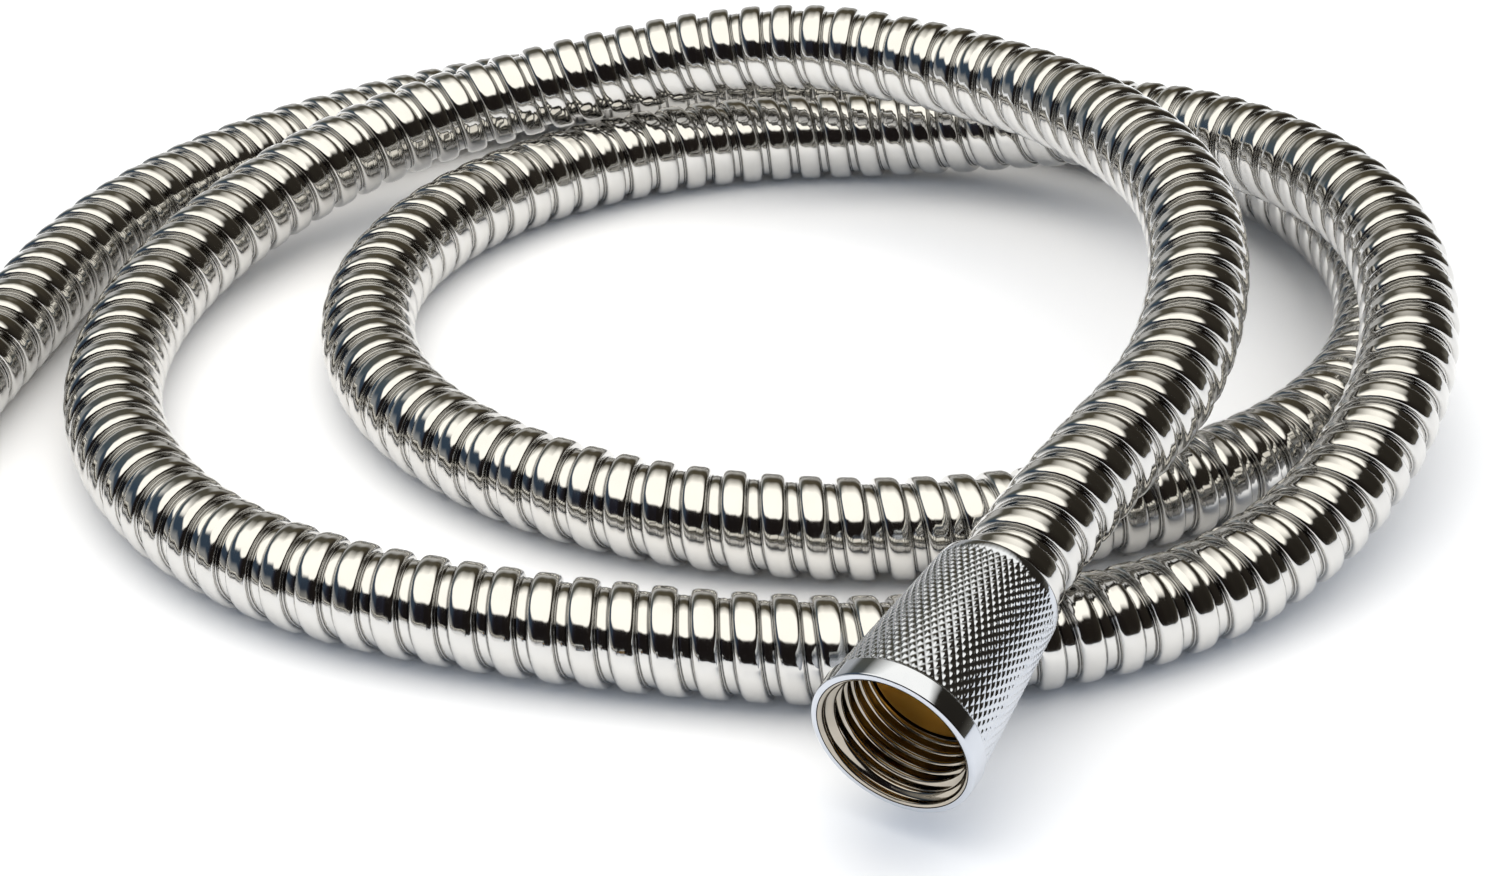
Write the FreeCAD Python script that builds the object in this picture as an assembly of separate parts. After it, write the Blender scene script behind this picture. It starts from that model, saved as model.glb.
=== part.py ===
import FreeCAD, Part
import math
import os

# Metal-armoured shower hose, 1.75 m from mouth to mouth, lying in loops on a flat surface at z = 0.
# One end has a knurled conical nut, the other a hexagonal nut, both for a G1/2 pipe thread.
# The origin is the middle of the bottom of the whole hose's box, +Z is up, and lengths are millimetres.

V = FreeCAD.Vector

# Hose section, from the outside in
ARMOUR_R = 7.75
ARMOUR_INNER_R = 6.2
LINER_R = 6.0
LINER_BORE_R = 4.25

# G1/2 internal thread, drawn as its minor diameter
THREAD_MINOR_R = 9.316

# Parts common to both ends, measured along the axis of the end from its mouth
CAVITY_R = 9.6
REAR_BORE_R = 8.0
FLANGE_R = 9.1
FLANGE_LENGTH = 2.0
FLANGE_MOUTH_CORNER = 0.5
BARB_LENGTH = 14.0
BARB_TIP_LENGTH = 1.5
BARB_TIP_R = 3.8
WATERWAY_R = 3.4
FERRULE_R = 7.7
CRIMP_DEPTH = 0.35
CRIMP_FLOOR = 0.8
CRIMP_SLOPE = 0.5
RING_INNER_R = 7.9
RING_LENGTH = 1.15
RING_PLAY = 0.05
EASED = 0.2
ROUNDED = 0.3

# Conical nut and what is inside it
CONE_LENGTH = 31.0
CONE_MOUTH_R = 11.95
CONE_TAIL_R = 9.25
CONE_COUNTERSINK_R = 11.1
CONE_THREAD_END = 11.4
CONE_FLANGE_START = 11.6
CONE_MOUTH_CORNER = 0.4
CONE_TAIL_CORNER = 0.6
CONE_CRIMPS = [16.6, 19.4]
CONE_HOSE_START = 22.0

# Hexagonal nut and what is inside it
HEX_ACROSS_FLATS = 24.0
HEX_LENGTH = 16.4
HEX_COUNTERSINK_R = 10.6
HEX_THREAD_END = 8.6
HEX_WASHER_START = 8.7
HEX_FLANGE_START = 10.7
HEX_CHAMFER_ANGLE = math.radians(30)
HEX_CRIMPS = [15.4, 18.2]
HEX_HOSE_START = 24.0
COLLAR_START = 20.6
COLLAR_END = 26.5
COLLAR_R = 8.35
COLLAR_BORE_R = 7.85
WASHER_R = 9.0
WASHER_BORE_R = 5.5

# Where the armour's centre line runs, from the conical nut to the hexagonal nut.
# The hose lies on the surface at FLOOR, and rises where one loop is carried by another.
FLOOR = ARMOUR_R
ROUTE = [
    (44.8, -48.3, 21.2), (59.4, -22.7, 26.8),
    (80, 5, 31), (87, 47, 36.5), (75, 88, 33), (52, 115, 29.5),
    (20, 130, 28.5), (-27, 130, 18), (-61, 111, 13),
    (-85, 74, FLOOR), (-86, 26, FLOOR), (-58, -14, FLOOR), (-1, -31, FLOOR), (48, -34, FLOOR),
    (93, -14, FLOOR), (119, 23, 21), (120, 72, 26), (89, 117, 19.5),
    (50, 134, FLOOR), (5, 131, FLOOR), (-32, 109, FLOOR), (-50, 72, FLOOR), (-41, 32, FLOOR),
    (-8, 4, FLOOR), (42, -4, FLOOR), (90, 12, FLOOR), (117, 44, FLOOR), (124, 86, FLOOR),
    (105, 124, FLOOR), (62, 150, FLOOR), (16, 157, FLOOR), (-34, 153, FLOOR), (-93, 110, FLOOR),
    (-110, 42, FLOOR), (-120.5, -15, FLOOR), (-122.4, -62, FLOOR),
    (-110, -101, 9.5), (-87, -128.3, 13.9), (-69, -140.3, 13.9),
]
ROUTE = [V(*point) for point in ROUTE]
BEND_SHARE = 0.45


def direction(start, end):
    """Unit vector from one point to another."""
    return (end - start).normalize()


def rounded_edges(points, radii, closed=False):
    """Straight runs through the points, joined at each one by a tangent arc of its radius (0 = sharp)."""
    count = len(points)
    starts = []
    ends = []
    arcs = []
    for i, point in enumerate(points):
        radius = radii[i]
        if radius == 0:
            starts.append(point)
            ends.append(point)
            arcs.append(None)
            continue
        back = direction(point, points[i - 1])
        ahead = direction(point, points[(i + 1) % count])
        half_turn = (math.pi - back.getAngle(ahead)) / 2
        tangent = radius * math.tan(half_turn)
        inward = (back + ahead).normalize()
        middle = point + inward * (radius / math.cos(half_turn) - radius)
        starts.append(point + back * tangent)
        ends.append(point + ahead * tangent)
        arcs.append(middle)
    edges = []
    for i in range(count):
        if arcs[i] is not None:
            edges.append(Part.Arc(starts[i], arcs[i], ends[i]).toShape())
        last = i == count - 1
        if last and not closed:
            continue
        following = starts[(i + 1) % count]
        if (following - ends[i]).Length > 1e-6:
            edges.append(Part.LineSegment(ends[i], following).toShape())
    return edges


def bend_radii(points):
    """Radius at each inner point: as large as the shorter of its two runs allows."""
    radii = [0]
    for before, point, after in zip(points, points[1:], points[2:]):
        shorter = min((point - before).Length, (after - point).Length)
        turn = (point - before).getAngle(after - point)
        radii.append(BEND_SHARE * shorter / math.tan(turn / 2))
    return radii + [0]


def hose_wire(extra_start=0.0, extra_end=0.0):
    """The hose's centre line, made longer at its straight ends by the two extra lengths."""
    radii = bend_radii(ROUTE)
    points = list(ROUTE)
    points[0] = points[0] + direction(ROUTE[1], ROUTE[0]) * extra_start
    points[-1] = points[-1] + direction(ROUTE[-2], ROUTE[-1]) * extra_end
    return Part.Wire(rounded_edges(points, radii))


def hose_tube(wire, outer_r, inner_r):
    """Round tube swept along the hose's centre line."""
    start = wire.Edges[0].firstVertex().Point
    along = direction(ROUTE[0], ROUTE[1])
    solids = []
    for radius in (outer_r, inner_r):
        circle = Part.Wire(Part.makeCircle(radius, start, along))
        solids.append(wire.makePipeShell([circle], True, False))
    tube = solids[0].cut(solids[1])
    section = math.pi * (outer_r ** 2 - inner_r ** 2)
    ratio = tube.Volume / (section * wire.Length)
    print("tube r %.2f/%.2f: length %.1f, volume / (section x length) = %.4f"
          % (outer_r, inner_r, wire.Length, ratio))
    return tube


def lathe(outline):
    """Solid turned about Z from an outline of (distance along the axis, radius, corner radius)."""
    points = [V(r, 0, s) for s, r, corner in outline]
    corners = [corner for s, r, corner in outline]
    face = Part.Face(Part.Wire(rounded_edges(points, corners, closed=True)))
    return face.revolve(V(0, 0, 0), V(0, 0, 1), 360)


def ring(start, end, inner_r, outer_r):
    """Plain ring with eased outer corners."""
    return lathe([(start, inner_r, 0), (start, outer_r, EASED), (end, outer_r, EASED), (end, inner_r, 0)])


def shoulder(flange_start):
    """Where a nut's shoulder is, past the flange and the slip ring."""
    return flange_start + FLANGE_LENGTH + RING_LENGTH + 2 * RING_PLAY


def cone_nut():
    """Conical nut: threaded mouth, cavity for the flange and slip ring, shoulder and rear bore."""
    countersink = CONE_COUNTERSINK_R - THREAD_MINOR_R
    back = shoulder(CONE_FLANGE_START)
    return lathe([
        (0, CONE_COUNTERSINK_R, EASED), (0, CONE_MOUTH_R, CONE_MOUTH_CORNER),
        (CONE_LENGTH, CONE_TAIL_R, CONE_TAIL_CORNER), (CONE_LENGTH, REAR_BORE_R, ROUNDED),
        (back, REAR_BORE_R, 0), (back, CAVITY_R, 0),
        (CONE_THREAD_END, CAVITY_R, 0), (CONE_THREAD_END, THREAD_MINOR_R, 0),
        (countersink, THREAD_MINOR_R, 0),
    ])


def hex_nut():
    """Hexagonal nut: threaded mouth, cavity, shoulder and rear bore, corners turned off at both ends."""
    corner_r = HEX_ACROSS_FLATS / math.sqrt(3)
    corners = [V(corner_r * math.cos(i * math.pi / 3), corner_r * math.sin(i * math.pi / 3), 0)
               for i in range(7)]
    prism = Part.Face(Part.makePolygon(corners)).extrude(V(0, 0, HEX_LENGTH))
    flat_r = HEX_ACROSS_FLATS / 2
    ease = (corner_r + EASED - flat_r) * math.tan(HEX_CHAMFER_ANGLE)
    turned = lathe([
        (0, 0, 0), (0, flat_r, 0), (ease, corner_r + EASED, 0),
        (HEX_LENGTH - ease, corner_r + EASED, 0), (HEX_LENGTH, flat_r, 0), (HEX_LENGTH, 0, 0),
    ])
    countersink = HEX_COUNTERSINK_R - THREAD_MINOR_R
    back = shoulder(HEX_FLANGE_START)
    bore = lathe([
        (-1, 0, 0), (-1, HEX_COUNTERSINK_R + 1, 0), (countersink, THREAD_MINOR_R, 0),
        (HEX_THREAD_END, THREAD_MINOR_R, 0), (HEX_THREAD_END, CAVITY_R, 0),
        (back, CAVITY_R, 0), (back, REAR_BORE_R, 0),
        (HEX_LENGTH + 1, REAR_BORE_R, 0), (HEX_LENGTH + 1, 0, 0),
    ])
    return prism.common(turned).cut(bore)


def tail(flange_start):
    """Brass tail: a flange that the nut pulls on, and a barb inside the liner."""
    flange_end = flange_start + FLANGE_LENGTH
    barb_end = flange_end + BARB_LENGTH
    return lathe([
        (flange_start, WATERWAY_R, FLANGE_MOUTH_CORNER), (flange_start, FLANGE_R, ROUNDED),
        (flange_end, FLANGE_R, EASED), (flange_end, LINER_BORE_R, 0),
        (barb_end - BARB_TIP_LENGTH, LINER_BORE_R, 0), (barb_end, BARB_TIP_R, 0), (barb_end, WATERWAY_R, 0),
    ])


def sleeve(start, crimps):
    """First part of a ferrule's outline: its front end, and where it is squeezed in at each crimp."""
    outline = [(start, LINER_R, 0), (start, FERRULE_R, ROUNDED)]
    for crimp in crimps:
        for side in (-1, 1):
            inner = (crimp + side * CRIMP_FLOOR / 2, FERRULE_R - CRIMP_DEPTH, 0)
            outer = (crimp + side * (CRIMP_FLOOR / 2 + CRIMP_SLOPE), FERRULE_R, 0)
            outline += [inner, outer] if side > 0 else [outer, inner]
    return outline


def cone_ferrule(start):
    """Steel sleeve round the liner, with the armour butted on its end inside the nut."""
    end = CONE_HOSE_START
    return lathe(sleeve(start, CONE_CRIMPS) + [(end, FERRULE_R, ROUNDED), (end, LINER_R, 0)])


def hex_ferrule(start):
    """Steel sleeve round the liner, with a wider collar over the first turns of the armour."""
    return lathe(sleeve(start, HEX_CRIMPS) + [
        (COLLAR_START, FERRULE_R, 0), (COLLAR_START + CRIMP_SLOPE, COLLAR_R, EASED),
        (COLLAR_END, COLLAR_R, ROUNDED), (COLLAR_END, COLLAR_BORE_R, 0),
        (HEX_HOSE_START, COLLAR_BORE_R, 0), (HEX_HOSE_START, LINER_R, 0),
    ])


def slip_ring(start):
    """Acetal ring between the flange and the nut's shoulder, on which the nut turns."""
    return ring(start + RING_PLAY, start + RING_PLAY + RING_LENGTH, RING_INNER_R, FLANGE_R)


def sealing_washer():
    """Rubber washer in the hexagonal nut's mouth, against the flange."""
    return ring(HEX_WASHER_START, HEX_FLANGE_START, WASHER_BORE_R, WASHER_R)


def end_placement(hose_end, inward, hose_start):
    """Placement of an end's parts: their +Z runs inward along the hose, and their +X points up."""
    up = (V(0, 0, 1) - inward * inward.z).normalize()
    rotation = FreeCAD.Rotation(up, inward.cross(up), inward, "ZXY")
    return FreeCAD.Placement(hose_end - inward * hose_start, rotation)


def placed(shape, placement):
    """The shape with its geometry moved to the placement."""
    return shape.transformed(placement.toMatrix())


def build():
    """Every node of the hose by name, each in its place."""
    cone_back = CONE_FLANGE_START + FLANGE_LENGTH
    hex_back = HEX_FLANGE_START + FLANGE_LENGTH
    cone_end = end_placement(ROUTE[0], direction(ROUTE[0], ROUTE[1]), CONE_HOSE_START)
    hex_end = end_placement(ROUTE[-1], direction(ROUTE[-1], ROUTE[-2]), HEX_HOSE_START)
    armour_wire = hose_wire()
    liner_wire = hose_wire(CONE_HOSE_START - cone_back, HEX_HOSE_START - hex_back)
    return {
        "hose_armour": hose_tube(armour_wire, ARMOUR_R, ARMOUR_INNER_R),
        "inner_liner": hose_tube(liner_wire, LINER_R, LINER_BORE_R),
        "cone_nut": placed(cone_nut(), cone_end),
        "cone_tail": placed(tail(CONE_FLANGE_START), cone_end),
        "cone_ferrule": placed(cone_ferrule(cone_back), cone_end),
        "cone_slip_ring": placed(slip_ring(cone_back), cone_end),
        "hex_nut": placed(hex_nut(), hex_end),
        "hex_tail": placed(tail(HEX_FLANGE_START), hex_end),
        "hex_ferrule": placed(hex_ferrule(hex_back), hex_end),
        "hex_slip_ring": placed(slip_ring(hex_back), hex_end),
        "sealing_washer": placed(sealing_washer(), hex_end),
    }


os.makedirs("parts", exist_ok=True)
print("route radii:", ", ".join("%.0f" % radius for radius in bend_radii(ROUTE)[1:-1]))
for name, shape in build().items():
    solid = shape.Solids[0]
    box = solid.BoundBox
    print("%-15s %d solid, valid %s, volume %.0f, box %.1f..%.1f %.1f..%.1f %.2f..%.2f"
          % (name, len(shape.Solids), solid.isValid(), solid.Volume,
             box.XMin, box.XMax, box.YMin, box.YMax, box.ZMin, box.ZMax))
    solid.exportStep("parts/%s.step" % name)
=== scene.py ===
"""Metal-armoured shower hose lying in loops, with a knurled conical nut at its front end and a
hexagonal nut at its other end."""
import math

import bpy
import numpy as np
from mathutils import Matrix


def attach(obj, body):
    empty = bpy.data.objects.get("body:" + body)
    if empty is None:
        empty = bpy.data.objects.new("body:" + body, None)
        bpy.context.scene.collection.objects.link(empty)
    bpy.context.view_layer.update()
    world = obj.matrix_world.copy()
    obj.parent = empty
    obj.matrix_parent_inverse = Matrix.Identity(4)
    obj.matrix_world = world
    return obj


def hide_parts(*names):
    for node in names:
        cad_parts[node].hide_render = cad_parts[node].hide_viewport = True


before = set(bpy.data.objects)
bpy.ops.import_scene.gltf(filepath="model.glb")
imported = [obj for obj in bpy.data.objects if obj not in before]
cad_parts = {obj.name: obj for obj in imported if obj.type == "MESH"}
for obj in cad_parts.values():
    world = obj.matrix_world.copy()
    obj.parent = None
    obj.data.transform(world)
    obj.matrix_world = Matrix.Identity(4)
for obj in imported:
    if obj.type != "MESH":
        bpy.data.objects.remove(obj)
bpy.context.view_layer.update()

MM = 0.001
UP = np.array([0.0, 0.0, 1.0])

# Hose section
CROWN_R = 7.75 * MM
VALLEY_R = 6.6 * MM
ARMOUR_BORE_R = 6.25 * MM
LINER_R = 6.0 * MM
LINER_BORE_R = 4.25 * MM

# Spiral strip: one crown and one valley in each turn of the right-handed winding. The crown's
# section has points at CROWN_SHARES of its half width, and painted shade darkens its colour where
# it meets the valleys
PITCH = 5.67 * MM
CROWN_HALF_WIDTH = 1.88 * MM
CROWN_HEIGHT = 0.92 * MM
CROWN_SQUARENESS = 2.9
CROWN_DIP = 0.03 * MM
CROWN_SHARES = (-1, -0.96, -0.86, -0.70, -0.5, -0.25, 0, 0.25, 0.5, 0.70, 0.86, 0.96, 1)
FOOT_R = 0.25 * MM
VALLEY_RISE = 0.09 * MM
STRIP_SIDES = 32
SPARE_TURNS = 2
BORE_RINGS_PER_TURN = 2
# Painted shade in the creases: how wide each darkened line is, and how dark it is painted
CREASE_WIDTH_MM = 0.22
CREASE_SHADE = 0.08

# Liner mesh
LINER_SIDES = 24
LINER_RINGS = 700

# G1/2 internal thread
THREAD_PITCH = 1.814 * MM
THREAD_MAJOR_R = 10.478 * MM
THREAD_MINOR_R = 9.316 * MM
THREAD_CREST_SHARE = 0.08
THREAD_FLANK_SHARE = 0.84
THREAD_ROWS_PER_TURN = 18
LEAD_IN_LENGTH = 0.1 * MM
LEAD_IN_SLOPE = 2.0
CREST_RISE = 2.6 * MM
GROOVE_RUNOUT = 0.6 * MM

# Both nuts' bores behind the thread: a cavity, a shoulder, and a rear bore with a rounded lip,
# given as distances in from the rear and out from the rear bore
CAVITY_R = 9.6 * MM
REAR_BORE_R = 8.0 * MM
EDGE_STEP = 0.02 * MM
SHOULDER_CHAMFER = 0.2 * MM
REAR_LIP = ((0.45 * MM, 0.0), (0.2 * MM, 0.08 * MM), (0.05 * MM, 0.22 * MM))

# Rows at the rear of a bore whose edges stay sharp: the eight behind the thread and its last
BORE_TAIL_ROWS = 9
SHARP_ANGLE = math.radians(38)

# Conical nut, along its axis from the mouth
CONE_LENGTH = 31.0 * MM
CONE_MOUTH_R = 11.95 * MM
CONE_TAIL_R = 9.25 * MM
CONE_COUNTERSINK_R = 11.0 * MM
CONE_THREAD_END = 11.4 * MM
CONE_SHOULDER = 14.85 * MM
CONE_FLANGE_END = 13.6 * MM
CONE_HOSE_START = 22.0 * MM
CONE_SIDES = 240
CONE_MOUTH_FACE = 0.1 * MM
CONE_MOUTH_ROUND = 0.35 * MM
CONE_REAR_FACE = 0.35 * MM
CONE_REAR_ROUND = 0.6 * MM
BAND_MOUTH_R = 11.80 * MM
BAND_END = 3.1 * MM
BAND_END_R = 11.93 * MM
BAND_STEP = 0.03 * MM
KNURL_START = 3.4 * MM
KNURL_END = 29.6 * MM
KNURL_MARGIN = 0.05 * MM
KNURL_ROW = 0.19 * MM
KNURL_FADE_IN = 0.35 * MM
KNURL_FADE_OUT = 0.5 * MM
KNURL_GROOVES = 60
KNURL_DEPTH = 0.18 * MM
KNURL_GROOVE_SHARE = 0.92
KNURL_ANGLE = math.radians(30)

# Hexagonal nut, along its axis from the mouth
HEX_ACROSS_FLATS = 24.0 * MM
HEX_LENGTH = 16.4 * MM
HEX_COUNTERSINK_R = 10.6 * MM
HEX_THREAD_END = 8.6 * MM
HEX_SHOULDER = 13.95 * MM
HEX_FLANGE_END = 12.7 * MM
HEX_HOSE_START = 24.0 * MM
HEX_SIDES = 120
HEX_CORNER_R = 0.5 * MM
HEX_CHAMFER_ANGLE = math.radians(30)
HEX_CHAMFER_LENGTH = 1.25 * MM
HEX_CHAMFER_ROWS = 12
HEX_BODY_START = 1.6 * MM
HEX_BODY_ROWS = 8
HEX_MOUTH_FACE = 0.15 * MM
HEX_REAR_FACE = 0.5 * MM

# The armour's centre line, from the conical nut to the hexagonal nut, as the control points of a
# spline; FLOOR is its height where the hose lies on the table
FLOOR = 0.00775
ROUTE = [
    (0.0448, -0.0483, 0.0212), (0.0594, -0.0227, 0.0268), (0.080, 0.005, 0.031),
    (0.087, 0.047, 0.0365), (0.075, 0.088, 0.033), (0.052, 0.115, 0.0295),
    (0.020, 0.130, 0.0285), (-0.027, 0.130, 0.018), (-0.061, 0.111, 0.013),
    (-0.085, 0.074, FLOOR), (-0.086, 0.026, FLOOR), (-0.058, -0.014, FLOOR),
    (-0.001, -0.031, FLOOR), (0.048, -0.034, FLOOR), (0.093, -0.014, FLOOR),
    (0.119, 0.023, 0.021), (0.120, 0.072, 0.026), (0.089, 0.117, 0.0195),
    (0.050, 0.134, FLOOR), (0.005, 0.131, FLOOR), (-0.032, 0.109, FLOOR),
    (-0.050, 0.072, FLOOR), (-0.041, 0.032, FLOOR), (-0.008, 0.004, FLOOR),
    (0.042, -0.004, FLOOR), (0.090, 0.012, FLOOR), (0.117, 0.044, FLOOR),
    (0.124, 0.086, FLOOR), (0.105, 0.124, FLOOR), (0.062, 0.150, FLOOR),
    (0.016, 0.157, FLOOR), (-0.034, 0.153, FLOOR), (-0.093, 0.110, FLOOR),
    (-0.110, 0.042, FLOOR), (-0.1205, -0.015, FLOOR), (-0.1224, -0.062, FLOOR),
    (-0.110, -0.101, 0.0095), (-0.087, -0.1283, 0.0139), (-0.069, -0.1403, 0.0139),
]

# How finely the spline is read, how far along the hose its curvature is evened out, and how
# close two points count as one
ROUTE_STEPS = 24
CURVATURE_SPREAD = 0.012
SAME_PLACE = 1e-9

# Studio, as the metal reflects it: a softbox overhead, a dark band under its edge and paler
# walls below the band's foot. Angles in degrees; azimuth 0 is towards -Y, 90 towards +X.
ROOM_R = 1.6
ROOM_COLUMNS = 180
ROOM_ROWS = 120
ROOM_LOWEST = -12
ROOM_AZIMUTH = [-180, -150, -125, -110, -60, -45, -30, 30, 90, 135, 160, 180]
SOFTBOX_EDGE = np.array([50, 49, 41, 39, 40, 43, 47, 49, 54, 54, 52, 50])
BAND_FOOT = np.array([18, 18, 15, 15, 15, 8, 0, 0, 8, 11, 16, 18])
SOFTBOX_SOFTNESS = np.array([28, 24, 10, 6, 6, 5, 4, 4, 10, 18, 24, 28])
SOFTBOX_COLOUR = np.array([1.64, 1.59, 1.46])
BAND_COLOUR = np.array([
    (0.10, 0.085, 0.055), (0.12, 0.12, 0.10), (0.08, 0.11, 0.13), (0.05, 0.08, 0.12),
    (0.04, 0.06, 0.09), (0.02, 0.02, 0.03), (0.012, 0.010, 0.010), (0.015, 0.012, 0.010),
    (0.03, 0.026, 0.020), (0.04, 0.034, 0.026), (0.08, 0.068, 0.045), (0.10, 0.085, 0.055)])
LOW_COLOUR = np.array([
    (0.56, 0.55, 0.52), (0.58, 0.58, 0.57), (0.26, 0.28, 0.29), (0.36, 0.37, 0.37),
    (0.34, 0.34, 0.33), (0.16, 0.15, 0.13), (0.02, 0.018, 0.016), (0.02, 0.018, 0.016),
    (0.12, 0.11, 0.09), (0.20, 0.19, 0.16), (0.36, 0.35, 0.32), (0.50, 0.49, 0.46)])
FOOT_SOFTNESS = 10.0

# The rest of the light, and the table
FLOOR_HALF_WIDTH = 6.0
SKY_COLOUR = (0.62, 0.76, 1.0)
SKY_STRENGTH = 0.88
OVERHEAD_PLACE = (0.0, 0.1, 1.0)
OVERHEAD_AIM = (0.0, 0.0, 0.0)
OVERHEAD_SIZE = (2.2, 1.7)
OVERHEAD_POWER = 22
OVERHEAD_COLOUR = (1.0, 0.93, 0.80)

# The range that a noise texture mostly stays in
NOISE_LOW = 0.3
NOISE_HIGH = 0.7

# Camera
CAMERA_PLACE = (0.016, -0.389, 0.2563)
CAMERA_PITCH = math.radians(31)
CAMERA_LENS = 74.88
CAMERA_SENSOR = 36.0
CAMERA_NEAR = 0.01
CAMERA_FAR = 50


def unit(vector):
    """The vector, or each row of an array of them, at length 1."""
    return vector / np.linalg.norm(vector, axis=-1, keepdims=True)


# ---------------------------------------------------------------- camera

def make_camera():
    """The photo's camera, in front of the hose and looking down on it."""
    data = bpy.data.cameras.new("camera")
    data.sensor_width = CAMERA_SENSOR
    data.lens = CAMERA_LENS
    data.clip_start = CAMERA_NEAR
    data.clip_end = CAMERA_FAR
    camera = bpy.data.objects.new("camera", data)
    camera.location = CAMERA_PLACE
    camera.rotation_euler = (math.pi / 2 - CAMERA_PITCH, 0, 0)
    bpy.context.scene.collection.objects.link(camera)
    bpy.context.scene.camera = camera


# ---------------------------------------------------------------- the hose's centre line

def route_points():
    """Points along the NURBS spline that the route's points control."""
    curve = bpy.data.curves.new("route", "CURVE")
    curve.dimensions = "3D"
    spline = curve.splines.new("NURBS")
    spline.points.add(len(ROUTE) - 1)
    for point, place in zip(spline.points, ROUTE):
        point.co = (*place, 1)
    spline.order_u = 3
    spline.use_endpoint_u = True
    spline.resolution_u = ROUTE_STEPS
    helper = bpy.data.objects.new("route", curve)
    bpy.context.scene.collection.objects.link(helper)
    graph = bpy.context.evaluated_depsgraph_get()
    mesh = bpy.data.meshes.new_from_object(helper.evaluated_get(graph))
    points = np.empty(len(mesh.vertices) * 3)
    mesh.vertices.foreach_get("co", points)
    bpy.data.objects.remove(helper)
    bpy.data.curves.remove(curve)
    bpy.data.meshes.remove(mesh)
    return points.reshape(-1, 3)


class CentreLine:
    """A smooth line in space with a frame that doesn't twist, read by distance along it."""

    def __init__(self, points):
        gaps = np.linalg.norm(np.diff(points, axis=0), axis=1)
        points = points[np.r_[True, gaps > SAME_PLACE]]
        steps = np.diff(points, axis=0)
        self.at = np.r_[0, np.cumsum(np.linalg.norm(steps, axis=1))]
        self.length = self.at[-1]
        self.points = points
        directions = unit(steps)
        self.tangents = unit(np.vstack([
            directions[:1], directions[:-1] + directions[1:], directions[-1:]]))
        self.sides = self._carry_side()
        self.bends = self._curvature()

    def _carry_side(self):
        """A sideways unit vector at each point, carried along without twisting about the line."""
        first = unit(np.cross(self.tangents[0], np.cross(UP, self.tangents[0])))
        sides = [first]
        for before, after in zip(self.tangents, self.tangents[1:]):
            axis = np.cross(before, after)
            side = sides[-1] + np.cross(axis, sides[-1])
            sides.append(unit(side - after * np.dot(side, after)))
        return np.array(sides)

    def _curvature(self):
        """Curvature vector at each point, evened out as a stiff hose does."""
        raw = np.gradient(self.tangents, self.at, axis=0)
        gaps = self.at[:, None] - self.at[None, :]
        weights = np.exp(-0.5 * (gaps / CURVATURE_SPREAD) ** 2)
        weights *= np.gradient(self.at)[None, :]
        return (weights @ raw) / weights.sum(axis=1, keepdims=True)

    def _read(self, table, at):
        """The table's vectors at the distances given."""
        return np.stack([np.interp(at, self.at, table[:, i]) for i in range(3)], axis=-1)

    def frame(self, at):
        """Place, direction, two sideways vectors and curvature at the distances given.

        The line runs straight on past its ends.
        """
        direction = unit(self._read(self.tangents, at))
        place = self._read(self.points, at)
        place = place + direction * np.minimum(at, 0)[..., None]
        place = place + direction * np.maximum(at - self.length, 0)[..., None]
        side = self._read(self.sides, at)
        side = unit(side - direction * np.sum(side * direction, axis=-1, keepdims=True))
        return place, direction, side, np.cross(direction, side), self._read(self.bends, at)


# ---------------------------------------------------------------- meshes

def mesh_object(name, points, faces, normals=None, strip_uv=None):
    """A smooth-shaded mesh object from arrays, with its own normals where they are given."""
    mesh = bpy.data.meshes.new(name)
    if isinstance(faces, list):
        sizes = np.array([len(face) for face in faces], np.int32)
        corners = np.concatenate([np.asarray(face, np.int32) for face in faces])
    else:
        sizes = np.full(len(faces), faces.shape[1], np.int32)
        corners = faces.ravel()
    mesh.vertices.add(len(points))
    mesh.vertices.foreach_set("co", np.asarray(points, np.float32).ravel())
    mesh.loops.add(len(corners))
    mesh.loops.foreach_set("vertex_index", corners.astype(np.int32))
    mesh.polygons.add(len(sizes))
    starts = np.r_[0, np.cumsum(sizes)[:-1]]
    mesh.polygons.foreach_set("loop_start", starts.astype(np.int32))
    mesh.polygons.foreach_set("use_smooth", np.ones(len(sizes), bool))
    mesh.update(calc_edges=True)
    if strip_uv is not None:
        layer = mesh.uv_layers.new(name="strip")
        layer.data.foreach_set("uv", np.asarray(strip_uv, np.float32).ravel())
    if normals is not None:
        mesh.normals_split_custom_set_from_vertices(unit(normals).tolist())
    piece = bpy.data.objects.new(name, mesh)
    bpy.context.scene.collection.objects.link(piece)
    return piece


def crown_point(share):
    """A point of the crown's section at a share of its half width.

    Gives its place along the hose, its radius, and the outward normal's two parts.
    """
    rise = (1 - abs(share) ** CROWN_SQUARENESS) ** (1 / CROWN_SQUARENESS)
    dip = 0.0
    lean = 0.0
    if abs(share) < 0.5:
        dip = CROWN_DIP * (1 + math.cos(2 * math.pi * share)) / 2
        lean = -CROWN_DIP * math.pi / CROWN_HALF_WIDTH * math.sin(2 * math.pi * share)
    along = math.copysign(abs(share) ** (CROWN_SQUARENESS - 1), share) / CROWN_HALF_WIDTH
    out = rise ** (CROWN_SQUARENESS - 1) / CROWN_HEIGHT
    along += lean * out
    length = math.hypot(along, out)
    radius = CROWN_R - CROWN_HEIGHT * (1 - rise) - dip
    return share * CROWN_HALF_WIDTH, radius, along / length, out / length


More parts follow.
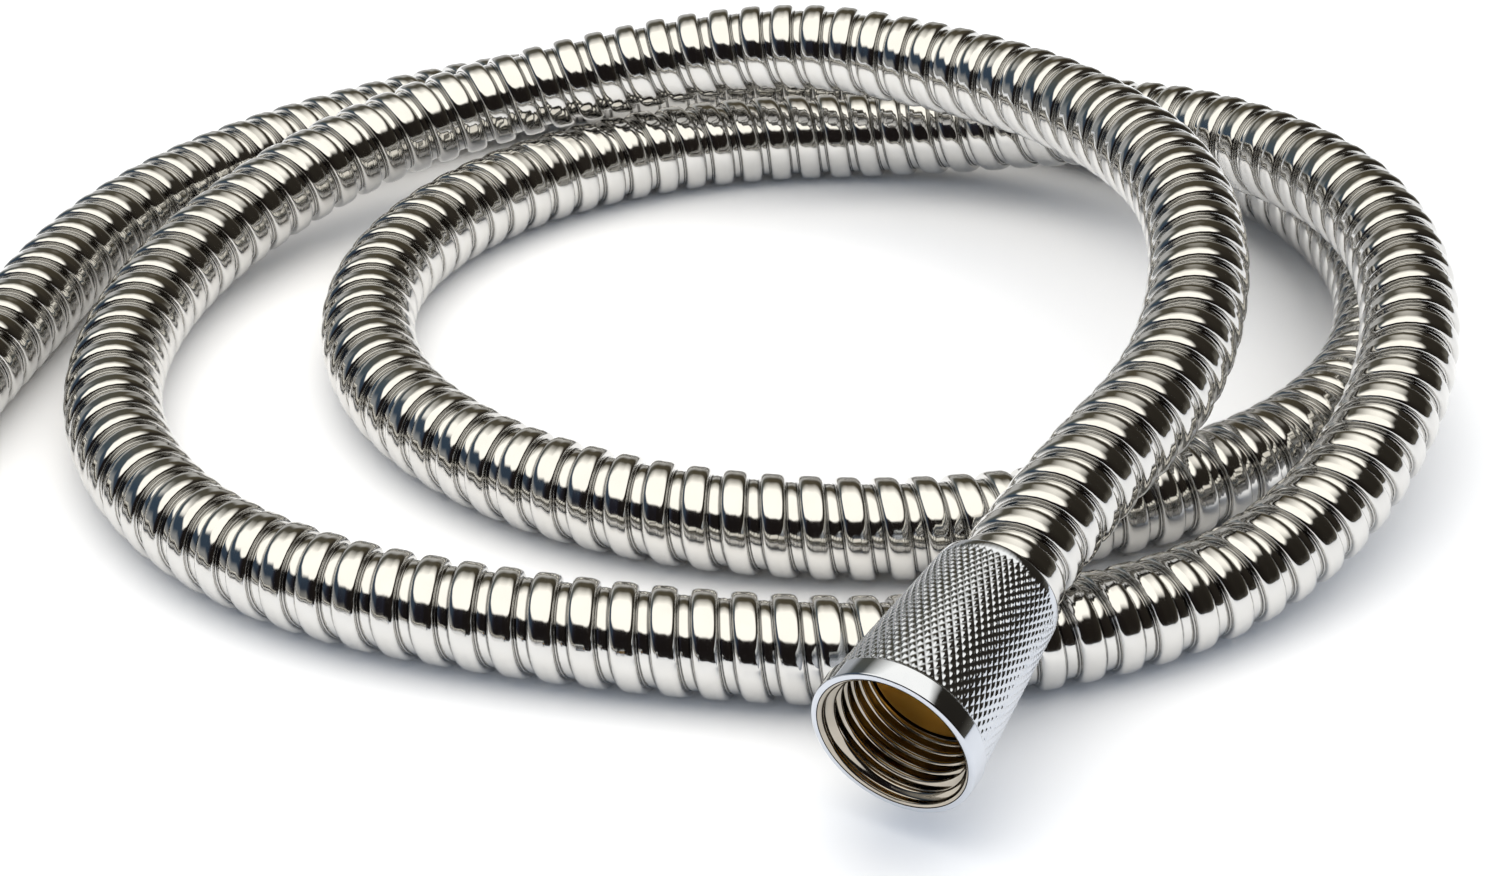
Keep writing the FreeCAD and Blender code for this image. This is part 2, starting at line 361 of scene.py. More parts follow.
def strip_profile():
    """One turn of the strip in section: along, radius, and the outward normal's two parts."""
    wall = CROWN_HALF_WIDTH
    rise = 2 * VALLEY_RISE / (PITCH / 2 - wall - FOOT_R)
    diagonal = math.sqrt(0.5)
    foot = [(-wall - FOOT_R, VALLEY_R, math.sin(rise), math.cos(rise)),
            (-wall - FOOT_R * (1 - diagonal), VALLEY_R + FOOT_R * (1 - diagonal),
             -diagonal, diagonal)]
    crown = [crown_point(share) for share in CROWN_SHARES]
    other_foot = [(-x, r, -nx, nr) for x, r, nx, nr in reversed(foot)]
    mid_valley = (PITCH / 2, VALLEY_R + VALLEY_RISE, 0.0, 1.0)
    return np.array(foot + crown + other_foot + [mid_valley])


def strip_widths():
    """Distance over the metal to each point of the strip's section, in mm.

    The last is the next turn's first point.
    """
    profile = strip_profile()
    across = np.r_[0, np.cumsum(np.hypot(np.diff(profile[:, 0]), np.diff(profile[:, 1])))]
    return np.r_[across, across[-1] + PITCH - profile[-1, 0] + profile[0, 0]] / MM


def make_armour(line):
    """The spiral armour: a strip wound from one end of the line to the other, with a plain bore.

    The winding's points come first, then a ring at each end where it is cut off square, then
    the bore's rings.
    """
    profile = strip_profile()
    turns = int(math.ceil(line.length / PITCH)) + SPARE_TURNS
    index = np.arange(-STRIP_SIDES, turns * STRIP_SIDES)
    angle = 2 * math.pi * (index % STRIP_SIDES) / STRIP_SIDES
    centre = PITCH * index / STRIP_SIDES

    # A crown keeps its width, so the valleys close on the inside of a bend and open on its outside
    side, other, bend = line.frame(centre)[2:]
    out = side * np.cos(angle)[:, None] + other * np.sin(angle)[:, None]
    squeeze = 1 - profile[None, :, 1] * np.sum(out * bend, axis=1)[:, None]
    at = centre[:, None] + profile[None, :, 0] / squeeze
    radius = np.repeat(profile[None, :, 1], len(index), axis=0)
    before = at < 0
    after = at > line.length
    at = np.clip(at, 0, line.length)
    radius[before | after] = VALLEY_R

    place, direction, side, other = line.frame(at)[:4]
    cosine = np.cos(angle)[:, None, None]
    sine = np.sin(angle)[:, None, None]
    out = side * cosine + other * sine
    around = other * cosine - side * sine
    points = place + out * radius[..., None]
    lead = PITCH / (2 * math.pi)
    normals = (direction * profile[None, :, 2, None] + out * profile[None, :, 3, None]
               - around * (profile[None, :, 2, None] * lead / radius[..., None]))

    # Each step of the winding joins the next one, and its last point joins the turn after
    grid = np.arange(radius.size).reshape(radius.shape)
    start_ring = grid.size
    end_ring = start_ring + STRIP_SIDES
    slot = (index % STRIP_SIDES)[:, None]
    number = np.where(before, start_ring + slot, np.where(after, end_ring + slot, grid))
    following = np.concatenate([
        number[STRIP_SIDES:, :1], np.repeat(number[-1:, :1], STRIP_SIDES, axis=0)])
    rows = np.concatenate([number, following], axis=1)
    quads = grid_corners(rows)[:-STRIP_SIDES].reshape(-1, 4)
    turn = np.arange(len(index))[:, None] / STRIP_SIDES + np.zeros((1, rows.shape[1]))
    across = np.repeat(strip_widths()[None, :], len(index), axis=0)
    uvs = grid_corners(np.stack([turn, across], axis=-1))[:-STRIP_SIDES].reshape(-1, 4, 2)

    ring_angle = 2 * math.pi * np.arange(STRIP_SIDES) / STRIP_SIDES
    bore_at = np.linspace(0, line.length, turns * BORE_RINGS_PER_TURN)
    bore = np.array([tube_ring(line, distance, ARMOUR_BORE_R, ring_angle) for distance in bore_at])
    first_bore = end_ring + STRIP_SIDES
    bore_number = first_bore + np.arange(len(bore) * STRIP_SIDES).reshape(len(bore), STRIP_SIDES)
    rings = np.vstack([start_ring + np.arange(STRIP_SIDES)[None, :], bore_number,
                       end_ring + np.arange(STRIP_SIDES)[None, :]])
    inner = grid_corners(np.concatenate([rings, rings[:, :1]], axis=1)).reshape(-1, 4)

    all_points = np.vstack([
        points.reshape(-1, 3), tube_ring(line, 0, VALLEY_R, ring_angle),
        tube_ring(line, line.length, VALLEY_R, ring_angle), bore.reshape(-1, 3)])
    all_normals = np.vstack([
        normals.reshape(-1, 3), np.repeat(-direction[0, :1], STRIP_SIDES, axis=0),
        np.repeat(direction[-1, -1:], STRIP_SIDES, axis=0),
        -tube_normals(line, bore_at, ring_angle).reshape(-1, 3)])
    all_quads = np.vstack([quads, inner])
    all_uvs = np.vstack([uvs, np.zeros((len(inner), 4, 2))])
    return clean_mesh("armour", all_points, all_quads, all_normals, all_uvs)


def grid_corners(grid):
    """The values at the four corners of each cell of a grid."""
    return np.stack([grid[:-1, :-1], grid[1:, :-1], grid[1:, 1:], grid[:-1, 1:]], axis=2)


def tube_ring(line, at, radius, angle):
    """A ring of points round the line at one distance along it."""
    place, _, side, other, _ = line.frame(np.array([float(at)]))
    return place + radius * (np.cos(angle)[:, None] * side + np.sin(angle)[:, None] * other)


def tube_normals(line, at, angle):
    """Outward normals of a round tube about the line."""
    side, other = line.frame(np.asarray(at))[2:4]
    return (side[:, None, :] * np.cos(angle)[None, :, None]
            + other[:, None, :] * np.sin(angle)[None, :, None])


def clean_mesh(name, points, quads, normals, uvs):
    """The mesh without unused points, empty faces or doubled corners."""
    doubled = quads == np.roll(quads, -1, axis=1)
    keep = doubled.sum(axis=1) <= 1
    keep &= (quads[:, 0] != quads[:, 2]) & (quads[:, 1] != quads[:, 3])
    quads, uvs, doubled = quads[keep], uvs[keep], doubled[keep]
    used = np.unique(quads)
    renumber = np.zeros(len(points), np.int64)
    renumber[used] = np.arange(len(used))
    faces = []
    loops = []
    plain = ~doubled.any(axis=1)
    faces.extend(renumber[quads[plain]])
    loops.append(uvs[plain].reshape(-1, 2))
    for quad, uv, same in zip(quads[~plain], uvs[~plain], doubled[~plain]):
        faces.append(renumber[quad[~same]])
        loops.append(uv[~same])
    return mesh_object(name, points[used], faces, normals[used], np.vstack(loops))


def make_liner(line):
    """The rubber tube inside the armour, from one tail's flange to the other's."""
    angle = 2 * math.pi * np.arange(LINER_SIDES) / LINER_SIDES
    ends = (CONE_FLANGE_END - CONE_HOSE_START, line.length + HEX_HOSE_START - HEX_FLANGE_END)
    at = np.linspace(*ends, LINER_RINGS)
    outer = [tube_ring(line, distance, LINER_R, angle) for distance in at]
    inner = [tube_ring(line, distance, LINER_BORE_R, angle) for distance in reversed(at)]
    rows = np.array(outer + inner + outer[:1])
    points = rows[:-1].reshape(-1, 3)
    number = np.arange(len(points)).reshape(-1, LINER_SIDES)
    number = np.vstack([number, number[:1]])
    number = np.concatenate([number, number[:, :1]], axis=1)
    quads = grid_corners(number)[..., [0, 3, 2, 1]]
    return mesh_object("liner", points, quads.reshape(-1, 4))


# ---------------------------------------------------------------- nuts

def end_axes(hose_end, inward, hose_start):
    """Origin and axes of one end of the hose: the mouth's centre, up, sideways, and inward."""
    origin = hose_end - inward * hose_start
    up = unit(UP - inward * inward[2])
    return origin, up, np.cross(inward, up), inward


def turned_surface(axes, along, radius, sides):
    """Points of a surface turned about an end's axis, with one radius a row or one a point."""
    origin, x_axis, y_axis, z_axis = axes
    angle = 2 * math.pi * np.arange(sides) / sides
    radius = np.asarray(radius)
    if radius.ndim == 1:
        radius = np.repeat(radius[:, None], sides, axis=1)
    across = np.cos(angle)[None, :, None] * x_axis + np.sin(angle)[None, :, None] * y_axis
    return origin + np.asarray(along)[:, None, None] * z_axis + radius[..., None] * across


def lattice_faces(first, rows, sides):
    """Quads between the rows of a closed grid whose numbering starts at first."""
    number = first + np.arange(rows * sides).reshape(rows, sides)
    number = np.concatenate([number, number[:, :1]], axis=1)
    return grid_corners(number).reshape(-1, 4)


def joining_faces(fine, coarse, sides, flip):
    """Faces between a fine ring and a coarse one with half as many points."""
    faces = []
    for i in range(sides):
        low = [fine + 2 * i, fine + 2 * i + 1, fine + (2 * i + 2) % (2 * sides)]
        face = low + [coarse + (i + 1) % sides, coarse + i]
        faces.append(face[::-1] if flip else face)
    return faces


def rounded_corner(start, corner, end, radius, steps=4):
    """Points (along, radius) that replace a corner of a turned outline by an arc."""
    start, corner, end = (np.array(p, float) for p in (start, corner, end))
    back, ahead = unit(start - corner), unit(end - corner)
    half = math.acos(float(np.clip(np.dot(back, ahead), -1, 1))) / 2
    reach = radius / math.tan(half)
    centre = corner + unit(back + ahead) * (radius / math.sin(half))
    first, last = corner + back * reach - centre, corner + ahead * reach - centre
    turn = math.atan2(first[0] * last[1] - first[1] * last[0], np.dot(first, last))
    points = []
    for i in range(steps + 1):
        cosine, sine = math.cos(turn * i / steps), math.sin(turn * i / steps)
        points.append(centre + np.array([first[0] * cosine - first[1] * sine,
                                         first[0] * sine + first[1] * cosine]))
    return points


def thread_radius(along, angle, start, end):
    """Wall radius of the internal thread: crests at the minor radius, roots at the major.

    The crests rise from the mouth over the first turns and the grooves run out at the end.
    """
    phase = (along / THREAD_PITCH - angle / (2 * math.pi)) % 1.0
    wave = np.abs(phase - 0.5) * 2
    depth = np.clip((wave - THREAD_CREST_SHARE) / THREAD_FLANK_SHARE, 0, 1)
    depth = depth * depth * (3 - 2 * depth)
    rise = np.clip((along - start) / CREST_RISE, 0, 1)
    runout = np.clip((end - along) / GROOVE_RUNOUT, 0, 1)
    return THREAD_MAJOR_R - (THREAD_MAJOR_R - THREAD_MINOR_R) * (1 - depth * runout) * rise


def threaded_bore(countersink_r, thread_end, shoulder, length, sides):
    """Rows of a nut's bore from its mouth to its rear: distances along, and radii per side."""
    angle = 2 * math.pi * np.arange(sides) / sides
    along = []
    radii = []
    rows = int(thread_end / THREAD_PITCH * THREAD_ROWS_PER_TURN)
    for at in np.linspace(EDGE_STEP, thread_end, rows):
        cone = countersink_r - LEAD_IN_SLOPE * at
        wall = thread_radius(at, angle, LEAD_IN_LENGTH, thread_end)
        along.append(at)
        radii.append(np.maximum(wall, cone))
    tail = [(thread_end + EDGE_STEP, CAVITY_R), (shoulder - EDGE_STEP, CAVITY_R),
            (shoulder, CAVITY_R - EDGE_STEP), (shoulder, REAR_BORE_R + SHOULDER_CHAMFER),
            (shoulder + SHOULDER_CHAMFER, REAR_BORE_R)]
    tail += [(length - back, REAR_BORE_R + out) for back, out in REAR_LIP]
    for at, radius in tail:
        along.append(at)
        radii.append(np.full(sides, radius))
    return np.array(along), np.array(radii)


def knurl(along, angle):
    """How far the diamond knurl cuts into the conical nut at each point, from 0 to 1."""
    taper = (CONE_MOUTH_R - CONE_TAIL_R) / CONE_LENGTH
    radius = CONE_MOUTH_R - taper * along
    wound = -np.log(radius / CONE_MOUTH_R) / taper * math.tan(KNURL_ANGLE)
    cut = np.zeros(np.broadcast(along, angle).shape)
    for sign in (1, -1):
        phase = KNURL_GROOVES * (angle + sign * wound) / (2 * math.pi)
        valley = 1 - np.abs(2 * (phase % 1.0) - 1)
        cut = np.maximum(cut, np.clip(1 - valley / KNURL_GROOVE_SHARE, 0, 1))
    fade_in = np.clip((along - KNURL_START) / KNURL_FADE_IN, 0, 1)
    fade_out = np.clip((KNURL_END - along) / KNURL_FADE_OUT, 0, 1)
    return cut * (fade_in * fade_out)


def nut_object(name, axes, outline, bore_outline, sides, plate, bore_plate_painted_shade):
    """A closed nut from the rows of its outside and of its bore, both with the mouth first.

    Each outline is the rows' distances along the nut and their radii. The bore has the number
    of sides given and the outside twice as many.
    """
    outside = turned_surface(axes, *outline, 2 * sides)
    bore = turned_surface(axes, *bore_outline, sides)
    outer_count = outside[..., 0].size
    bore_rows = len(bore)
    last_outer = outer_count - 2 * sides
    last_bore = outer_count + (bore_rows - 1) * sides
    faces = [list(face) for face in lattice_faces(0, len(outside), 2 * sides)[:, ::-1]]
    bore_faces = slice(len(faces), len(faces) + (bore_rows - 1) * sides)
    faces += [list(face) for face in lattice_faces(outer_count, bore_rows, sides)]
    faces += joining_faces(0, outer_count, sides, flip=False)
    faces += joining_faces(last_outer, last_bore, sides, flip=True)
    points = np.vstack([outside.reshape(-1, 3), bore.reshape(-1, 3)])
    piece = mesh_object(name, points, faces)
    piece.data.set_sharp_from_angle(angle=SHARP_ANGLE)

    # The thread's edges are smooth however steep they are
    ends = np.empty(2 * len(piece.data.edges), np.int32)
    piece.data.edges.foreach_get("vertices", ends)
    thread_end = outer_count + (bore_rows - BORE_TAIL_ROWS) * sides
    threaded = (ends >= outer_count) & (ends < thread_end)
    creases = piece.data.attributes["sharp_edge"]
    sharp = np.empty(len(piece.data.edges), bool)
    creases.data.foreach_get("value", sharp)
    creases.data.foreach_set("value", sharp & ~threaded.reshape(-1, 2).all(axis=1))
    dress(piece, plate)
    piece.data.materials.append(bore_plate_painted_shade)
    in_bore = np.zeros(len(faces), np.int32)
    in_bore[bore_faces] = 1
    piece.data.polygons.foreach_set("material_index", in_bore)
    return piece


def make_cone_nut(axes, plate, bore_plate_painted_shade):
    """The conical nut: a plain band round its mouth, then the knurl as far as its rounded rear."""
    taper = (CONE_TAIL_R - CONE_MOUTH_R) / CONE_LENGTH
    mouth = rounded_corner(
        (0, CONE_COUNTERSINK_R), (0, BAND_MOUTH_R), (BAND_END, BAND_END_R), CONE_MOUTH_ROUND)
    rear = rounded_corner(
        (0, CONE_MOUTH_R), (CONE_LENGTH, CONE_TAIL_R), (CONE_LENGTH, REAR_BORE_R),
        CONE_REAR_ROUND, steps=5)
    rows = int((KNURL_END - KNURL_START) / KNURL_ROW)
    knurled = np.linspace(KNURL_START - KNURL_MARGIN, KNURL_END + KNURL_MARGIN, rows)
    outline = np.array(
        [(0, CONE_COUNTERSINK_R + CONE_MOUTH_FACE)] + mouth
        + [(BAND_END - BAND_STEP, BAND_END_R), (BAND_END, BAND_END_R - BAND_STEP)]
        + [(at, CONE_MOUTH_R + taper * at) for at in knurled] + rear
        + [(CONE_LENGTH, REAR_BORE_R + CONE_REAR_FACE)])
    angle = 2 * math.pi * np.arange(2 * CONE_SIDES) / (2 * CONE_SIDES)
    cut = knurl(outline[:, 0][:, None], angle[None, :])
    radius = outline[:, 1][:, None] - KNURL_DEPTH * cut
    bore = threaded_bore(
        CONE_COUNTERSINK_R, CONE_THREAD_END, CONE_SHOULDER, CONE_LENGTH, CONE_SIDES)
    return nut_object("cone_nut_knurled", axes, (outline[:, 0], radius), bore, CONE_SIDES,
                      plate, bore_plate_painted_shade)


def hexagon_radius(angle):
    """Radius of a hexagon with rounded corners, in each direction."""
    half = math.radians(30)
    flat_r = HEX_ACROSS_FLATS / 2
    off = np.abs((angle % (2 * half)) - half)
    plain = flat_r / np.cos(off)
    centre = (flat_r - HEX_CORNER_R) / math.cos(half)
    rest = half - off
    reach = np.maximum(HEX_CORNER_R ** 2 - (centre * np.sin(rest)) ** 2, 0)
    corner = centre * np.cos(rest) + np.sqrt(reach)
    starts = math.atan2((flat_r - HEX_CORNER_R) * math.tan(half), flat_r)
    return np.where(off > starts, corner, plain)


def make_hex_nut(axes, plate, bore_plate_painted_shade):
    """The hexagonal nut, its corners cut back by a cone at each end."""
    angle = 2 * math.pi * np.arange(2 * HEX_SIDES) / (2 * HEX_SIDES)
    slope = 1 / math.tan(HEX_CHAMFER_ANGLE)
    ends = np.linspace(0, HEX_CHAMFER_LENGTH, HEX_CHAMFER_ROWS)
    body = np.linspace(HEX_BODY_START, HEX_LENGTH - HEX_BODY_START, HEX_BODY_ROWS)
    along = np.r_[0, ends, body, (HEX_LENGTH - ends)[::-1], HEX_LENGTH]
    cone = HEX_ACROSS_FLATS / 2 + np.minimum(along, HEX_LENGTH - along) * slope
    radius = np.minimum(cone[:, None], hexagon_radius(angle)[None, :])
    radius[0] = HEX_COUNTERSINK_R + HEX_MOUTH_FACE
    radius[-1] = REAR_BORE_R + HEX_REAR_FACE
    bore = threaded_bore(
        HEX_COUNTERSINK_R, HEX_THREAD_END, HEX_SHOULDER, HEX_LENGTH, HEX_SIDES)
    return nut_object("hex_nut_faceted", axes, (along, radius), bore, HEX_SIDES,
                      plate, bore_plate_painted_shade)


# ---------------------------------------------------------------- materials

def principled(name, colour, metallic, roughness):
    """A plain material, with its node tree and its shader."""
    material = bpy.data.materials.new(name)
    material.use_nodes = True
    shader = material.node_tree.nodes["Principled BSDF"]
    shader.inputs["Base Color"].default_value = (*colour, 1)
    shader.inputs["Metallic"].default_value = metallic
    shader.inputs["Roughness"].default_value = roughness
    return material, material.node_tree, shader


def add_noise(tree, coordinates, scale, detail):
    """A noise texture on the given coordinates, with its scale in each of the three directions."""
    noise = tree.nodes.new("ShaderNodeTexNoise")
    noise.inputs["Scale"].default_value = 1.0
    noise.inputs["Detail"].default_value = detail
    mapping = tree.nodes.new("ShaderNodeMapping")
    mapping.inputs["Scale"].default_value = scale
    tree.links.new(coordinates, mapping.inputs["Vector"])
    tree.links.new(mapping.outputs["Vector"], noise.inputs["Vector"])
    return noise.outputs["Fac"]


def spread_value(tree, source, low, high):
    """The noise, which mostly stays between NOISE_LOW and NOISE_HIGH, run from low to high."""
    span = tree.nodes.new("ShaderNodeMapRange")
    span.inputs["From Min"].default_value = NOISE_LOW
    span.inputs["From Max"].default_value = NOISE_HIGH
    span.inputs["To Min"].default_value = low
    span.inputs["To Max"].default_value = high
    tree.links.new(source, span.inputs["Value"])
    return span.outputs["Result"]


def add_bump(tree, shader, height, strength, distance):
    """Small unevenness of the surface, its depth in metres."""
    bump = tree.nodes.new("ShaderNodeBump")
    bump.inputs["Strength"].default_value = strength
    bump.inputs["Distance"].default_value = distance
    tree.links.new(height, bump.inputs["Height"])
    tree.links.new(bump.outputs["Normal"], shader.inputs["Normal"])


def tinted(tree, shader, source, low, high):
    """Base colour that varies between two colours with the source."""
    mix = tree.nodes.new("ShaderNodeMix")
    mix.data_type = "RGBA"
    mix.inputs["A"].default_value = (*low, 1)
    mix.inputs["B"].default_value = (*high, 1)
    tree.links.new(source, mix.inputs["Factor"])
    tree.links.new(mix.outputs["Result"], shader.inputs["Base Color"])


def steel_strip():
    """Polished stainless strip: faint rolling lines along it and small waves from the winding."""
    material, tree, shader = principled("polished steel strip", (0.64, 0.63, 0.61), 1.0, 0.09)
    uv = tree.nodes.new("ShaderNodeUVMap")
    uv.uv_map = "strip"
    place = tree.nodes.new("ShaderNodeTexCoord").outputs["Object"]
    lines = add_noise(tree, uv.outputs["UV"], (0.7, 9.0, 1.0), detail=3.0)
    waves = add_noise(tree, place, (260.0,) * 3, detail=2.0)
    tree.links.new(spread_value(tree, lines, 0.05, 0.13), shader.inputs["Roughness"])
    tinted(tree, shader, waves, (0.61, 0.60, 0.577), (0.67, 0.663, 0.648))
    # Painted shade: the base colour is darkened in the creases beside each crown
    paint_crease_shade(tree, shader, uv.outputs["UV"])
    add_bump(tree, shader, waves, strength=0.35, distance=0.15 * MM)
    return material


def paint_crease_shade(tree, shader, strip_place):
    """Paints shade into the metal's colour where each crown meets the valleys beside it.

    strip_place has the distance over the metal from one crease as its second coordinate.
    """
    across = strip_widths()
    parts = tree.nodes.new("ShaderNodeSeparateXYZ")
    share = tree.nodes.new("ShaderNodeMath")
    share.operation = "DIVIDE"
    share.inputs[1].default_value = across[-1]
    shade = tree.nodes.new("ShaderNodeValToRGB")
    stops = shade.color_ramp.elements
    foot = across[-3]
    for stop, position in ((stops[0], 0.0), (stops[1], 1.0)):
        stop.position = position
        stop.color = (CREASE_SHADE, CREASE_SHADE, CREASE_SHADE, 1)
    for place, value in ((CREASE_WIDTH_MM, 1.0), (foot - CREASE_WIDTH_MM, 1.0),
                         (foot, CREASE_SHADE), (foot + CREASE_WIDTH_MM, 1.0),
                         (across[-1] - CREASE_WIDTH_MM, 1.0)):
        stop = stops.new(place / across[-1])
        stop.color = (value, value, value, 1)
    # The painted crease shade is multiplied into the base colour
    blend = tree.nodes.new("ShaderNodeMix")
    blend.data_type = "RGBA"
    blend.blend_type = "MULTIPLY"
    blend.inputs["Factor"].default_value = 1.0
    base = shader.inputs["Base Color"].links[0].from_socket
    tree.links.new(strip_place, parts.inputs["Vector"])
    tree.links.new(parts.outputs["Y"], share.inputs[0])
    tree.links.new(share.outputs["Value"], shade.inputs["Fac"])
    tree.links.new(base, blend.inputs["A"])
    tree.links.new(shade.outputs["Color"], blend.inputs["B"])
    tree.links.new(blend.outputs["Result"], shader.inputs["Base Color"])


def grained(name, colour, metallic, roughness, tints, scale, bump, detail=2.0):
    """A material whose colour, roughness and surface vary a little from place to place.

    roughness is the lowest and the highest, tints the two colours, and bump the strength and
    depth of the unevenness. colour stands for the material where the noise isn't read.
    """
    material, tree, shader = principled(name, colour, metallic, sum(roughness) / 2)
    place = tree.nodes.new("ShaderNodeTexCoord").outputs["Object"]
    grain = add_noise(tree, place, (scale,) * 3, detail)
    tree.links.new(spread_value(tree, grain, *roughness), shader.inputs["Roughness"])
    tinted(tree, shader, grain, *tints)
    add_bump(tree, shader, grain, *bump)
    return material


def chrome():
    """Bright chrome plate, a little cool, with the faint unevenness of plating."""
    return grained("chrome plate", (0.55, 0.575, 0.62), metallic=1.0, roughness=(0.035, 0.085),
                   tints=((0.52, 0.547, 0.595), (0.58, 0.603, 0.645)), scale=420.0,
                   bump=(0.15, 0.05 * MM))


def machined_bore_painted_shade():
    """Thinly plated thread inside a nut, warmer than its outside, with its colour darkened as
    painted shade in the bore.
    """
    # Painted shade: the colours are kept dark so the thread's recesses read dark
    return grained("machined thread, painted shade", (0.42, 0.38, 0.32), metallic=1.0, roughness=(0.06, 0.11),
                   tints=((0.38, 0.34, 0.28), (0.46, 0.42, 0.36)), scale=500.0,
                   bump=(0.15, 0.02 * MM))


def turned_brass():
    """Unplated brass with a fine grain."""
    return grained("turned brass", (0.95, 0.55, 0.11), metallic=0.85, roughness=(0.30, 0.34),
                   tints=((0.93, 0.47, 0.06), (0.97, 0.52, 0.09)), scale=1500.0,
                   bump=(0.02, 0.01 * MM))


def drawn_steel():
    """Drawn steel sleeve with a soft sheen."""
    return grained("drawn steel", (0.66, 0.66, 0.66), metallic=1.0, roughness=(0.14, 0.30),
                   tints=((0.60, 0.60, 0.60), (0.71, 0.71, 0.72)), scale=700.0,
                   bump=(0.2, 0.04 * MM))


def soft_material(name, low, high, roughness, scale):
    """Rubber or plastic with a fine moulded grain."""
    return grained(name, low, metallic=0.0, roughness=(roughness - 0.08, roughness + 0.08),
                   tints=(low, high), scale=scale, bump=(0.3, 0.03 * MM), detail=4.0)


def dress(piece, material):
    """Gives a piece one material throughout."""
    piece.data.materials.clear()
    piece.data.materials.append(material)


# ---------------------------------------------------------------- studio

def make_floor():
    """A plain white table that runs far past the hose."""
    half = FLOOR_HALF_WIDTH
    corners = np.array([(-half, -half, 0), (half, -half, 0), (half, half, 0), (-half, half, 0)])
    floor = mesh_object("floor", corners, np.array([[0, 1, 2, 3]]))
    dress(floor, principled("white table", (0.90, 0.88, 0.85), metallic=0.0, roughness=0.6)[0])


def only_reflected(piece):
    """Keeps a staged object out of the picture except where it shines back from metal."""
    piece.visible_camera = False
    piece.visible_diffuse = False
    piece.visible_transmission = False
    piece.visible_volume_scatter = False
    piece.visible_shadow = False


def room_colours(azimuth, elevation):
    """What the metal reflects in each direction of the room."""
    def around(table):
        """The table's value, or its colour, at each azimuth."""
        if table.ndim == 1:
            return np.interp(azimuth, ROOM_AZIMUTH, table)
        return np.stack([np.interp(azimuth, ROOM_AZIMUTH, part) for part in table.T], axis=-1)

    above_edge = (elevation - around(SOFTBOX_EDGE)) / around(SOFTBOX_SOFTNESS)
    in_box = np.clip(above_edge + 0.5, 0, 1)[..., None]
    above_foot = (elevation - around(BAND_FOOT)) / FOOT_SOFTNESS
    in_band = np.clip(above_foot + 0.5, 0, 1)[..., None]
    colour = around(LOW_COLOUR) * (1 - in_band) + around(BAND_COLOUR) * in_band
    return colour * (1 - in_box) + SOFTBOX_COLOUR * in_box


def make_room():
    """The studio round the hose: a dome that shines with the room's colours."""
    azimuth, elevation = np.meshgrid(np.linspace(-180, 180, ROOM_COLUMNS + 1)[:-1],
                                     np.linspace(ROOM_LOWEST, 90, ROOM_ROWS))
    level = np.cos(np.radians(elevation))
    points = ROOM_R * np.stack([level * np.sin(np.radians(azimuth)),
                                -level * np.cos(np.radians(azimuth)),
                                np.sin(np.radians(elevation))], axis=-1)
    room = mesh_object("room", points.reshape(-1, 3), lattice_faces(0, ROOM_ROWS, ROOM_COLUMNS))
    colours = np.ones((azimuth.size, 4))
    colours[:, :3] = room_colours(azimuth, elevation).reshape(-1, 3)
    layer = room.data.color_attributes.new("light", "FLOAT_COLOR", "POINT")
    layer.data.foreach_set("color", colours.astype(np.float32).ravel())
    material = bpy.data.materials.new("studio")
    material.use_nodes = True
    tree = material.node_tree
    tree.nodes.clear()
    shine = tree.nodes.new("ShaderNodeEmission")
    read = tree.nodes.new("ShaderNodeVertexColor")
    read.layer_name = "light"
    output = tree.nodes.new("ShaderNodeOutputMaterial")
    tree.links.new(read.outputs["Color"], shine.inputs["Color"])
    tree.links.new(shine.outputs["Emission"], output.inputs["Surface"])
    dress(room, material)
    only_reflected(room)


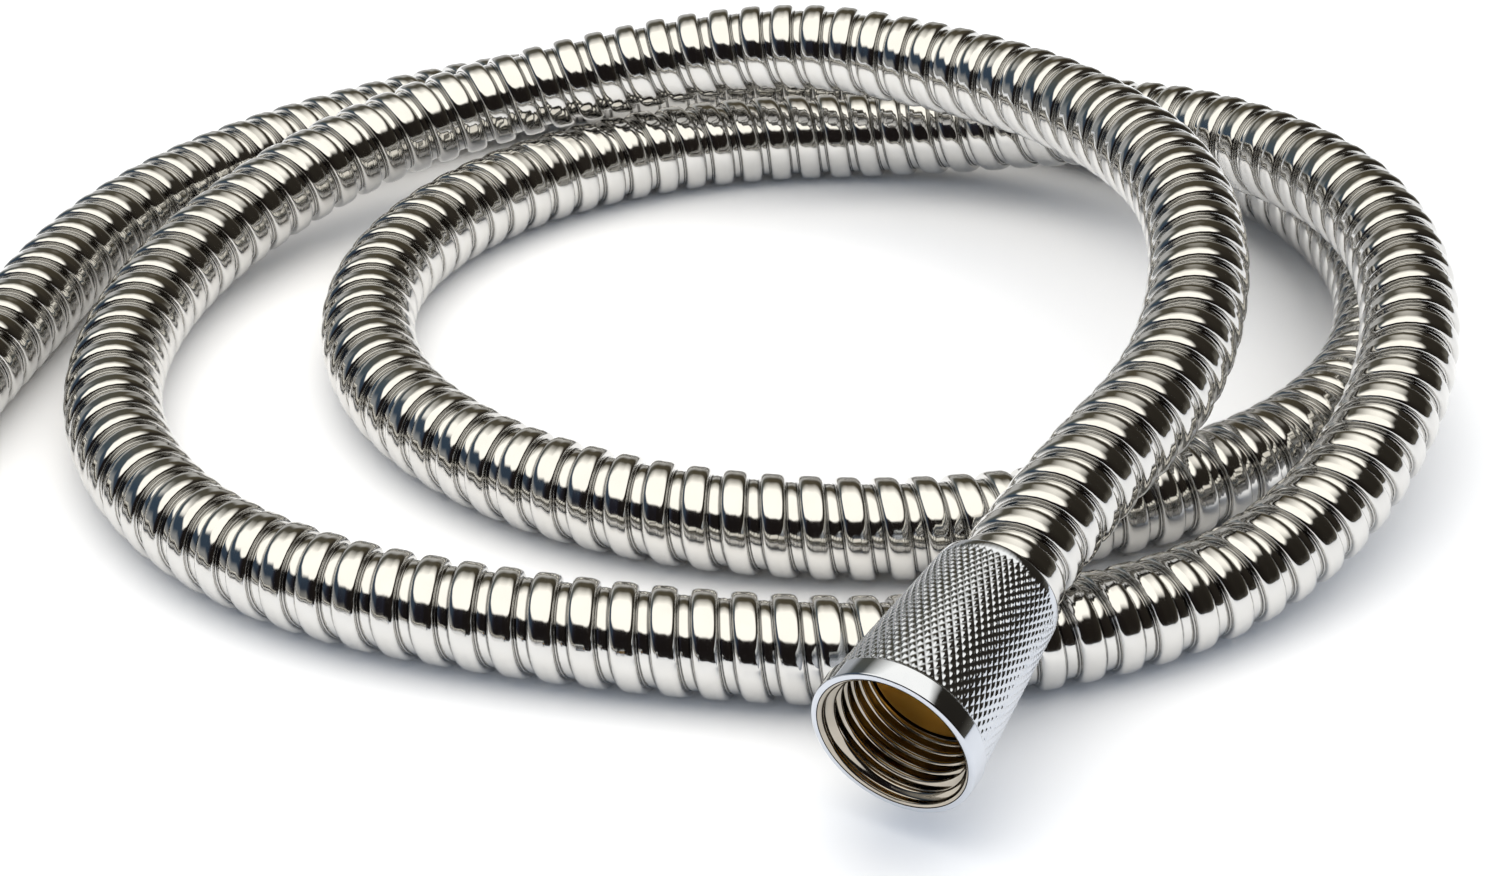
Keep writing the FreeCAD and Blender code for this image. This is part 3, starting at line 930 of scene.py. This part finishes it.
def make_overhead():
    """The softbox's light on the table, which the metal doesn't reflect."""
    data = bpy.data.lights.new("overhead", "AREA")
    data.shape = "RECTANGLE"
    data.size, data.size_y = OVERHEAD_SIZE
    data.energy = OVERHEAD_POWER
    data.color = OVERHEAD_COLOUR
    light = bpy.data.objects.new("overhead", data)
    place = np.array(OVERHEAD_PLACE)
    back = unit(place - np.array(OVERHEAD_AIM))
    right = unit(np.cross((0, 1, 0), back))
    rows = np.stack([right, np.cross(back, right), back], axis=1)
    light.matrix_world = Matrix([(*rows[i], place[i]) for i in range(3)] + [(0, 0, 0, 1)])
    light.visible_camera = False
    light.visible_glossy = False
    bpy.context.scene.collection.objects.link(light)


def make_world():
    """Cool light from all round, which fills the shadows."""
    world = bpy.data.worlds.new("room")
    bpy.context.scene.world = world
    world.use_nodes = True
    tree = world.node_tree
    background = tree.nodes["Background"]
    background.inputs["Color"].default_value = (*SKY_COLOUR, 1)
    background.inputs["Strength"].default_value = SKY_STRENGTH


make_camera()
line = CentreLine(route_points())
hose = make_armour(line)
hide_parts("hose_armour")
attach(hose, "hose")
dress(hose, steel_strip())

liner = make_liner(line)
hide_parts("inner_liner")
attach(liner, "hose")
dress(liner, soft_material(
    "liner rubber", (0.018, 0.018, 0.018), (0.035, 0.035, 0.035), roughness=0.6, scale=500.0))

route = np.array(ROUTE)
cone_axes = end_axes(route[0], unit(route[1] - route[0]), CONE_HOSE_START)
hex_axes = end_axes(route[-1], unit(route[-2] - route[-1]), HEX_HOSE_START)
plate = chrome()
# The bore's material carries painted shade that darkens the thread
bore_plate_painted_shade = machined_bore_painted_shade()
cone_nut = make_cone_nut(cone_axes, plate, bore_plate_painted_shade)
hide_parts("cone_nut")
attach(cone_nut, "cone_nut")
hex_nut = make_hex_nut(hex_axes, plate, bore_plate_painted_shade)
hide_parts("hex_nut")
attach(hex_nut, "hex_nut")

brass = turned_brass()
steel = drawn_steel()
acetal = soft_material(
    "acetal", (0.78, 0.78, 0.75), (0.84, 0.84, 0.81), roughness=0.45, scale=400.0)
rubber = soft_material(
    "washer rubber", (0.02, 0.02, 0.02), (0.04, 0.04, 0.04), roughness=0.7, scale=600.0)
for node, material in (("cone_tail", brass), ("hex_tail", brass),
                       ("cone_ferrule", steel), ("hex_ferrule", steel),
                       ("cone_slip_ring", acetal), ("hex_slip_ring", acetal),
                       ("sealing_washer", rubber)):
    dress(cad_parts[node], material)

make_floor()
make_room()
make_world()
make_overhead()
bpy.context.scene.view_settings.view_transform = "Standard"
